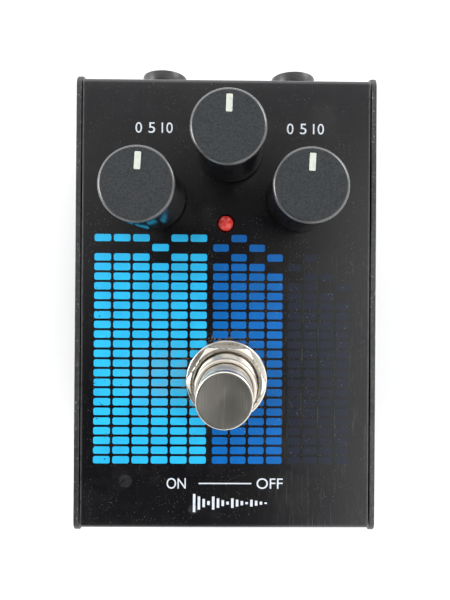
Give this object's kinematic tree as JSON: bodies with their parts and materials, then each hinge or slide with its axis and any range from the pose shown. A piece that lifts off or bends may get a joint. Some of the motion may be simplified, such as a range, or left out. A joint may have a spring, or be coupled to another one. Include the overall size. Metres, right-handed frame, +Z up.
{
  "type": "delay pedal",
  "caption": "Compact delay effects pedal: folded black steel case with turning knobs, an indicator lamp, a push footswitch and jack sockets in the rear wall.",
  "frame": {"origin": "On the surface that the feet stand on, under the middle of the whole object's box, jack noses included", "axes": "+X to the right and +Y to the rear of the pedal as its player sees it, +Z up"},
  "size_m": [0.06, 0.0972, 0.0506],
  "materials": {
    "case_paint": "satin black paint with a printed top",
    "knob_black": "soft matt top, glossy side",
    "pointer_white": "plain",
    "bright_metal": "nickel plated",
    "button_metal": "brushed top, polished side",
    "lamp_red": "clear diffused lens",
    "foot_rubber": "matt",
    "screw_metal": "black oxide",
    "pot_case": "tinned",
    "switch_plastic": "moulded",
    "board_brown": "laminate",
    "board_green": "solder mask",
    "cable_grey": "flat cable",
    "chip_black": "moulded",
    "can_blue": "shrunk sleeve",
    "trimmer_blue": "moulded",
    "jack_black": "moulded"
  },
  "bodies": {
    "case": {"base_shell": "case_paint", "top_shell": "case_paint", "base_screw_1": "screw_metal", "base_screw_2": "screw_metal", "base_screw_3": "screw_metal", "base_screw_4": "screw_metal", "foot_1": "foot_rubber", "foot_2": "foot_rubber", "foot_3": "foot_rubber", "foot_4": "foot_rubber", "pot_housing_left": "pot_case", "pot_housing_centre": "pot_case", "pot_housing_right": "pot_case", "pot_bushing_left": "bright_metal", "pot_bushing_centre": "bright_metal", "pot_bushing_right": "bright_metal", "pot_nut_left": "bright_metal", "pot_nut_centre": "bright_metal", "pot_nut_right": "bright_metal", "lamp_lens": "lamp_red", "lamp_lead_1": "bright_metal", "lamp_lead_2": "bright_metal", "footswitch_washer": "bright_metal", "footswitch_dress_nut": "bright_metal", "footswitch_lock_nut": "bright_metal", "footswitch_barrel": "bright_metal", "footswitch_spring": "bright_metal", "footswitch_housing": "switch_plastic", "footswitch_terminals": "board_brown", "footswitch_board": "board_green", "main_board": "board_green", "ribbon_cable": "cable_grey", "delay_chip": "chip_black", "compander_chip": "chip_black", "amplifier_chip": "chip_black", "capacitor_1": "can_blue", "capacitor_2": "can_blue", "trimmer_body": "trimmer_blue", "jack_body_left": "jack_black", "jack_body_right": "jack_black", "jack_contact_left": "bright_metal", "jack_contact_right": "bright_metal", "jack_washer_left": "bright_metal", "jack_washer_right": "bright_metal", "jack_nut_left": "bright_metal", "jack_nut_right": "bright_metal", "power_socket": "jack_black", "power_socket_pin": "bright_metal"},
    "control_left": {"pot_shaft_left": "bright_metal", "knob_left": "knob_black", "knob_pointer_left": "pointer_white"},
    "control_centre": {"pot_shaft_centre": "bright_metal", "knob_centre": "knob_black", "knob_pointer_centre": "pointer_white"},
    "control_right": {"pot_shaft_right": "bright_metal", "knob_right": "knob_black", "knob_pointer_right": "pointer_white"},
    "plunger": {"footswitch_button": "button_metal"},
    "trimmer": {"trimmer_rotor": "pointer_white"}
  },
  "joints": [
    {"name": "turn_control_left", "type": "hinge", "parent": "case", "child": "control_left", "pos_m": [-0.0145, 0.01805, 0.0343], "axis": [0, 0, 1], "range_deg": [-146.6, 153.4]},
    {"name": "turn_control_centre", "type": "hinge", "parent": "case", "child": "control_centre", "pos_m": [0.0007, 0.0277, 0.0343], "axis": [0, 0, 1], "range_deg": [-148.3, 151.7]},
    {"name": "turn_control_right", "type": "hinge", "parent": "case", "child": "control_right", "pos_m": [0.0145, 0.01805, 0.0343], "axis": [0, 0, 1], "range_deg": [-147.6, 152.4]},
    {"name": "press_footswitch", "type": "slide", "parent": "case", "child": "plunger", "axis": [0, 0, -1], "range_m": [0, 0.0025], "stiffness_N_per_m": 3000, "springref_m": -0.002, "deforming": ["footswitch_spring"]},
    {"name": "turn_trimmer", "type": "hinge", "parent": "case", "child": "trimmer", "pos_m": [-0.0215, -0.00032, 0.0201], "axis": [0, 0, 1], "range_deg": [-115, 115]}
  ]
}
